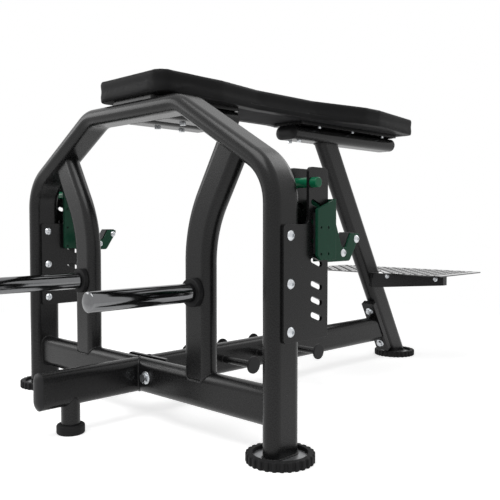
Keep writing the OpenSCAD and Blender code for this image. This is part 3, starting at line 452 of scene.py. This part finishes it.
footSet = {"rim": 0.084, "height": 0.023, "lip": 0.0673, "sole": 0.009, "edge": 0.0025, "lowEdge": 0.002,
           "teeth": 28, "steps": 10, "depth": 0.0042, "gap": (0.25, 0.70), "rearY": 1.356}
rim, top, edge, low = footSet["rim"], footSet["height"], footSet["edge"], footSet["lowEdge"]
profile = [(0, 0), (rim - low, 0), (rim, low), (rim, top - edge), (rim - 0.3 * edge, top - 0.3 * edge),
           (rim - edge, top), (rim - 3.2 * edge, top), (footSet["lip"], top), (footSet["lip"], footSet["sole"]),
           (0, footSet["sole"])]
bm = spun(profile, footSet["teeth"] * footSet["steps"])
for vert in bm.verts:
    radius = math.hypot(vert.co.x, vert.co.y)
    if radius > rim - 2 * edge:
        turn = math.atan2(vert.co.y, vert.co.x) * footSet["teeth"]
        low, high = footSet["gap"]
        share = min(max((0.5 + 0.5 * math.cos(turn) - low) / (high - low), 0.0), 1.0)
        drop = footSet["depth"] * share * share * (3 - 2 * share)
        vert.co.x *= 1 - drop / radius
        vert.co.y *= 1 - drop / radius
footMesh = sharpEdges(meshFrom(bm, "foot"), 40)
for name, x, y in (("left", -tube["legX"], 0), ("right", tube["legX"], 0), ("rear", 0, footSet["rearY"])):
    mesh = gather([(footMesh, Matrix.Translation(shifted(x, y, 0)))], name + "ToothedFoot")
    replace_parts(newPiece(name + "ToothedFoot", mesh, footRubber, "frame"), name + "_foot")
print("feet made")


# tread on the foot plate

treadSet = {"top": 0.370, "front": 1.120, "rear": 1.455, "halfWidth": 0.350, "pitch": 0.026, "length": 0.0115,
            "width": 0.0036, "height": 0.0014, "margin": 0.014, "start": 0.006, "sunk": 0.05, "notchRear": 1.2175,
            "notchHalf": 0.040, "notchSpace": 0.012, "flareX": 0.105, "flareDepth": 0.095, "flareSlope": 0.9}


def inNotch(x, y):    # the cut round the rear leg, flared on its right side
    flare = treadSet["front"] + treadSet["flareDepth"] - treadSet["flareSlope"] * max(0, x - treadSet["notchHalf"])
    if 0 < x < treadSet["flareX"] and y < flare:
        return True
    return abs(x) < treadSet["notchHalf"] and y < treadSet["notchRear"] + treadSet["notchSpace"]


lozenge = bmesh.new()
bmesh.ops.create_uvsphere(lozenge, u_segments=10, v_segments=4, radius=1)
bmesh.ops.bisect_plane(lozenge, geom=lozenge.verts[:] + lozenge.edges[:] + lozenge.faces[:],
                       plane_co=(0, 0, -treadSet["sunk"]), plane_no=(0, 0, -1), clear_outer=True)
bmesh.ops.scale(lozenge, vec=(treadSet["length"], treadSet["width"], treadSet["height"]), verts=lozenge.verts)
lozengeMesh = meshFrom(lozenge, "lozenge")
parts = []
columns = int(treadSet["halfWidth"] / treadSet["pitch"])
rows = int((treadSet["rear"] - treadSet["front"]) / treadSet["pitch"]) - 1
for i in range(-columns, columns + 1):
    for j in range(rows + 1):
        x = i * treadSet["pitch"]
        y = treadSet["front"] + treadSet["margin"] + treadSet["start"] + j * treadSet["pitch"]
        if abs(x) > treadSet["halfWidth"] - treadSet["margin"] or y > treadSet["rear"] - treadSet["margin"]:
            continue
        if not inNotch(x, y):
            turn = Matrix.Rotation(math.radians(45 if (i + j) % 2 else -45), 4, "Z")
            parts.append((lozengeMesh, Matrix.Translation(shifted(x, y, treadSet["top"])) @ turn))
newPiece("treadLozenges", gather(parts, "treadLozenges"), treadCoat, "frame")
print("tread made", len(parts), "lozenges")


# weld beads

def ovalLoop(width, height, step=0.0024):    # points round a flat oval, in its own plane
    r = min(width, height) / 2
    run = abs(width - height)
    total = 2 * run + 2 * math.pi * r
    points = []
    for i in range(int(total / step)):
        s = i * total / int(total / step)
        if s < run:
            u, v = s - run / 2, r
        elif s < run + math.pi * r:
            a = math.pi / 2 - (s - run) / r
            u, v = run / 2 + r * math.cos(a), r * math.sin(a)
        elif s < 2 * run + math.pi * r:
            u, v = run / 2 - (s - run - math.pi * r), -r
        else:
            a = -math.pi / 2 - (s - 2 * run - math.pi * r) / r
            u, v = -run / 2 + r * math.cos(a), r * math.sin(a)
        points.append((u, v) if width > height else (v, u))
    return points


def beadMesh(paths, radius):
    curve = bpy.data.curves.new("bead", "CURVE")
    curve.dimensions = "3D"
    curve.bevel_depth = radius
    curve.bevel_resolution = 2
    for points, closed in paths:
        spline = curve.splines.new("POLY")
        spline.points.add(len(points) - 1)
        spline.use_cyclic_u = closed
        for k, point in enumerate(points):
            spline.points[k].co = (*point, 1)
            spline.points[k].radius = 1 + 0.16 * math.sin(2 * math.pi * k / 4) + 0.06 * math.sin(1.7 * k)
    piece = looseObject("bead", curve)
    mesh = evaluated(piece)
    dropObject(piece)
    return mesh


def straight(start, end, step=0.0024):
    start, end = Vector(start), Vector(end)
    count = max(3, int((end - start).length / step))
    return [start.lerp(end, i / count) for i in range(count + 1)]


def crossFace(z):    # how far the cross tube's front face stands out at a height
    over = max(0, abs(z - tube["baseZ"]) - tube["half"])
    return math.sqrt(max(0, tube["half"] ** 2 - over ** 2))


weldSet = {"radius": 0.0028, "hookRadius": 0.0022, "proud": 0.0006, "sunk": 0.0004, "discTop": 0.0146,
           "uprightX": 0.271, "pegs": (0.318, 0.478, 0.638), "pegR": 0.011, "flangeFace": 0.0106, "legTop": 0.867,
           "legTopBead": 0.8664, "flangeX": 0.0115, "flangeY": -0.0482, "flangeRun": (0.060, 0.292),
           "wingY": 1.1397, "wingRun": (0.308, 0.364), "hookX": 0.0225, "hookY": 0.1486, "hookRun": (0.482, 0.622)}
half, baseZ, proud, sunk = tube["half"], tube["baseZ"], weldSet["proud"], weldSet["sunk"]
tall, flat = ovalLoop(tube["thin"], tube["wide"]), ovalLoop(tube["wide"], tube["thin"])
pegRing = [(weldSet["pegR"] * math.cos(a * math.pi / 15), weldSet["pegR"] * math.sin(a * math.pi / 15))
           for a in range(30)]
rings = [[shifted(u, -crossFace(baseZ + v) - proud, baseZ + v) for u, v in tall]]
for sign in (-1, 1):
    rings.append([shifted(sign * (tube["legIn"] - sunk), u, baseZ + v) for u, v in tall])
    rings.append([shifted(sign * weldSet["uprightX"] + u, v,
                          baseZ + half + math.sqrt(max(0, half ** 2 - v * v)) + proud) for u, v in flat])
    rings.append([shifted(sign * tube["legX"] + u, v, weldSet["discTop"]) for u, v in tall])
    for y in weldSet["pegs"]:
        rings.append([shifted(sign * (half + sunk), y + u, baseZ + v) for u, v in pegRing])
rings.append([shifted(u, half + weldSet["flangeFace"], baseZ + v) for u, v in tall])
topY = tube["footY"] - (weldSet["legTop"] - tube["footZ"]) * math.tan(tube["lean"])
for y, z in ((tube["footY"], weldSet["discTop"]), (topY, weldSet["legTopBead"])):
    rings.append([Vector((u, y + v / math.cos(tube["lean"]), z)) for u, v in tall])
seams = []
for sign in (-1, 1):    # flange on the rear leg's round front
    ends = [legFrame @ Vector((sign * weldSet["flangeX"], weldSet["flangeY"], z)) for z in weldSet["flangeRun"]]
    seams.append(straight(*ends))
seams.append(straight(*[shifted(half + proud, weldSet["wingY"], z) for z in weldSet["wingRun"]]))
paths = [(points, True) for points in rings] + [(points, False) for points in seams]
newPiece("frameWelds", beadMesh(paths, weldSet["radius"]), frameCoat, "frame")

for side, sign in sides.items():    # hook plates on the carriage web
    paths = []
    for x in (-weldSet["hookX"], weldSet["hookX"]):
        ends = [shifted(sign * tube["legX"] + x, weldSet["hookY"], z) for z in weldSet["hookRun"]]
        paths.append((straight(*ends), False))
    newPiece(side + "HookWelds", beadMesh(paths, weldSet["hookRadius"]), cupCoat, side + "_cup")
print("welds made")


# bench pad

padSet = {"low": 0.929, "voxel": 0.005, "pressure": 4.0, "frames": 20, "cap": 0.0014, "pocket": 0.0153,
          "pinned": 0.004, "fill": 0.9}


def pocketFaces(bm):    # walls and roof of the pocket that holds the board
    levels = (padSet["low"], padSet["low"] + padSet["pocket"])
    return [f for f in bm.faces if f.calc_center_median().z > levels[0] + 0.001
            and all(min(abs(v.co.z - level) for level in levels) < 0.0004 for v in f.verts)]


def padBlank():    # the solid's outside, closed flat underneath
    bm = bmesh.new()
    bm.from_mesh(nodes["bench_pad"].data)
    bmesh.ops.remove_doubles(bm, verts=bm.verts, dist=1e-5)
    bmesh.ops.delete(bm, geom=pocketFaces(bm), context="FACES")
    rim = [e for e in bm.edges if e.is_boundary]
    bmesh.ops.holes_fill(bm, edges=rim)
    bmesh.ops.recalc_face_normals(bm, faces=bm.faces)
    return meshFrom(bm, "padBlank")


def boardCutter():    # the pocket's inside, lengthened below the pad
    bm = bmesh.new()
    bm.from_mesh(nodes["bench_pad"].data)
    bmesh.ops.remove_doubles(bm, verts=bm.verts, dist=1e-5)
    others = [f for f in bm.faces if f not in set(pocketFaces(bm))]
    bmesh.ops.delete(bm, geom=others, context="FACES")
    rim = [e for e in bm.edges if e.is_boundary]
    grown = bmesh.ops.extrude_edge_only(bm, edges=rim)["geom"]
    bmesh.ops.translate(bm, verts=[v for v in grown if isinstance(v, bmesh.types.BMVert)], vec=(0, 0, -0.02))
    bmesh.ops.holes_fill(bm, edges=[e for e in bm.edges if e.is_boundary])
    bmesh.ops.recalc_face_normals(bm, faces=bm.faces)
    return meshFrom(bm, "boardCutter")


def inflate(piece, settings):
    remesh = piece.modifiers.new("remesh", "REMESH")
    remesh.mode = "VOXEL"
    remesh.voxel_size = settings["voxel"]
    mesh = evaluated(piece)
    piece.modifiers.clear()
    piece.data = mesh
    start = [v.co.copy() for v in mesh.vertices]
    pin = piece.vertex_groups.new(name="pin")
    pin.add([v.index for v in mesh.vertices if v.co.z < settings["low"] + settings["pinned"]], 1.0, "ADD")
    cloth = piece.modifiers.new("cloth", "CLOTH")
    cloth.settings.use_pressure = True
    cloth.settings.uniform_pressure_force = settings["pressure"]
    cloth.settings.effector_weights.gravity = 0
    cloth.settings.vertex_group_mass = "pin"
    cloth.settings.quality = 5
    cloth.point_cache.frame_end = settings["frames"]
    for number in range(1, settings["frames"] + 1):
        bpy.context.scene.frame_set(number)
    swollen = evaluated(piece)
    piece.modifiers.clear()
    bpy.context.scene.frame_set(1)
    for v, old in zip(swollen.vertices, start):
        move = v.co - old
        if move.length > settings["cap"]:
            v.co = old + move.normalized() * settings["cap"]
    piece.data = swollen


padPiece = looseObject("padCushion", padBlank())
inflate(padPiece, padSet)
padPiece.vertex_groups.clear()
padPiece.data = cutMesh(padPiece.data, boardCutter(), solver="MANIFOLD")
dress(padPiece.data, benchVinyl)
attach(padPiece, "frame")
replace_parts(padPiece, "bench_pad")
print("pad made", len(padPiece.data.polygons), "faces")


# floor, background, lamps and camera

stageSet = {"floor": 0.80, "glow": 0.62, "nearEdge": 1.5, "farEdge": 2.6, "sky": 0.36, "size": 30}
bm = bmesh.new()
bmesh.ops.create_grid(bm, x_segments=2, y_segments=2, size=stageSet["size"])
floorObject = looseObject("studioFloor", meshFrom(bm, "studioFloor", False))
floorMaterial, tree, shader = newMaterial("studioFloor")
shader.inputs["Base Color"].default_value = (stageSet["floor"],) * 3 + (1,)
shader.inputs["Roughness"].default_value = 0.9
shader.inputs["Specular IOR Level"].default_value = 0.0
rays = addNode(tree, "ShaderNodeLightPath").outputs
seen = combine(tree, "MAXIMUM", rays["Is Camera Ray"], rays["Is Glossy Ray"])
glow = addNode(tree, "ShaderNodeEmission")
tree.links.new(combine(tree, "MULTIPLY", seen, stageSet["glow"]), glow.inputs["Strength"])
both = addNode(tree, "ShaderNodeAddShader")
tree.links.new(shader.outputs[0], both.inputs[0])
tree.links.new(glow.outputs[0], both.inputs[1])
coords = addNode(tree, "ShaderNodeTexCoord")
reach = addNode(tree, "ShaderNodeVectorMath", operation="LENGTH")
tree.links.new(coords.outputs["Object"], reach.inputs[0])
fade = mapRange(tree, reach.outputs["Value"], 0, 1, stageSet["nearEdge"], stageSet["farEdge"])
white = addNode(tree, "ShaderNodeEmission", {"Strength": 1.0})
fading = addNode(tree, "ShaderNodeMixShader")
tree.links.new(combine(tree, "MULTIPLY", fade, seen), fading.inputs[0])
tree.links.new(both.outputs[0], fading.inputs[1])
tree.links.new(white.outputs[0], fading.inputs[2])
tree.links.new(fading.outputs[0], tree.nodes["Material Output"].inputs["Surface"])
floorObject.data.materials.append(floorMaterial)

world = bpy.data.worlds.new("studio")
bpy.context.scene.world = world
world.use_nodes = True
tree = world.node_tree
background = tree.nodes["Background"]
background.inputs["Color"].default_value = (1, 1, 1, 1)
rays = addNode(tree, "ShaderNodeLightPath").outputs
seen = combine(tree, "MAXIMUM", rays["Is Camera Ray"], rays["Is Glossy Ray"])
seen = combine(tree, "MAXIMUM", seen, rays["Is Transmission Ray"])
tree.links.new(mapRange(tree, seen, stageSet["sky"], 1.0, 0, 1), background.inputs["Strength"])


def softbox(name, place, target, size, power):
    lamp = bpy.data.lights.new(name, "AREA")
    lamp.shape = "RECTANGLE"
    lamp.size, lamp.size_y = size
    lamp.energy = power
    holder = bpy.data.objects.new(name, lamp)
    holder.location = place
    holder.rotation_euler = (Vector(target) - Vector(place)).to_track_quat("-Z", "Y").to_euler()
    bpy.context.scene.collection.objects.link(holder)


lampSet = {
    "keyLamp": {"place": (0.45, -1.5, 2.9), "target": (0, 0, 0.5), "size": (1.8, 1.8), "power": 46},
    "fillLamp": {"place": (-2.6, -2.2, 1.8), "target": (0, 0, 0.5), "size": (1.6, 1.6), "power": 24},
    "rearLamp": {"place": (0.6, 2.8, 3.0), "target": (0, 0, 0.6), "size": (2.0, 1.4), "power": 22},
}
for name, settings in lampSet.items():
    softbox(name, **settings)

cameraSet = {"lens": 50, "sensor": 36, "place": (1.65515, -1.77380, 0.57146), "turn": (87.72, 0, 44.51)}
cameraData = bpy.data.cameras.new("photoCamera")
cameraData.lens = cameraSet["lens"]
cameraData.sensor_width = cameraSet["sensor"]
cameraObject = bpy.data.objects.new("photoCamera", cameraData)
cameraObject.location = cameraSet["place"]
cameraObject.rotation_euler = [math.radians(a) for a in cameraSet["turn"]]
bpy.context.scene.collection.objects.link(cameraObject)
bpy.context.scene.camera = cameraObject
bpy.context.scene.view_settings.view_transform = "Standard"
print("stage set")
